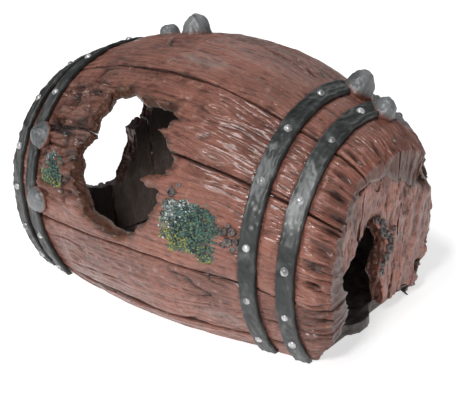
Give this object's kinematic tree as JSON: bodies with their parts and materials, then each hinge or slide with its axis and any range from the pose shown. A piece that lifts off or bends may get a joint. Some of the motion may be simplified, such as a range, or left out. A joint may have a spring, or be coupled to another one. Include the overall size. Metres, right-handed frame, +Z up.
{
  "type": "bubbling ornament",
  "caption": "Broken wooden-barrel aquarium ornament with hoops, a doorway head and an air stone inside that lets bubbles out of the openings.",
  "frame": {"origin": "centre of the flat underside, on the surface the ornament stands on", "axes": "+X along the barrel to the doorway end, +Z up, the broken-open side faces -Y"},
  "size_m": [0.1461, 0.1228, 0.0977],
  "materials": {
    "wood_resin": "painted resin with a wood grain, semi-gloss",
    "iron_resin": "painted resin, satin charcoal",
    "floor_resin": "painted resin, matt dark brown",
    "rock_resin": "painted resin, grey stone",
    "moss": "coloured grit glued on",
    "barnacle_resin": "painted resin",
    "barb_plastic": "moulded plastic",
    "grommet_rubber": "black rubber",
    "tube_pvc": "clear soft PVC",
    "air_stone_grit": "bonded mineral grit",
    "stem_plastic": "moulded plastic"
  },
  "bodies": {
    "barrel": {"stave_01": "wood_resin", "stave_02": "wood_resin", "stave_03": "wood_resin", "stave_04": "wood_resin", "stave_05": "wood_resin", "stave_06": "wood_resin", "stave_07": "wood_resin", "stave_08": "wood_resin", "stave_09": "wood_resin", "stave_10": "wood_resin", "door_head_near": "wood_resin", "door_head_middle": "wood_resin", "door_head_far": "wood_resin", "end_head_near": "wood_resin", "end_head_middle": "wood_resin", "end_head_far": "wood_resin", "hoop_left_outer": "iron_resin", "hoop_left_inner": "iron_resin", "hoop_right_inner": "iron_resin", "hoop_right_outer": "iron_resin", "stone_top": "rock_resin", "stone_top_small": "rock_resin", "stone_on_inner_hoop": "rock_resin", "stone_on_outer_hoop": "rock_resin", "stone_left_upper": "rock_resin", "stone_left_lower": "rock_resin", "moss_patch": "moss", "moss_left": "moss", "barnacles_side": "barnacle_resin", "floor": "floor_resin", "inlet_barb": "barb_plastic", "inlet_grommet": "grommet_rubber", "air_tube": "tube_pvc"},
    "air_stone": {"air_stone": "air_stone_grit", "air_stone_stem": "stem_plastic"}
  },
  "joints": [
    {"name": "air_stone_pull", "type": "slide", "parent": "barrel", "child": "air_stone", "axis": [1, 0, 0], "range_m": [0, 0.008]}
  ]
}
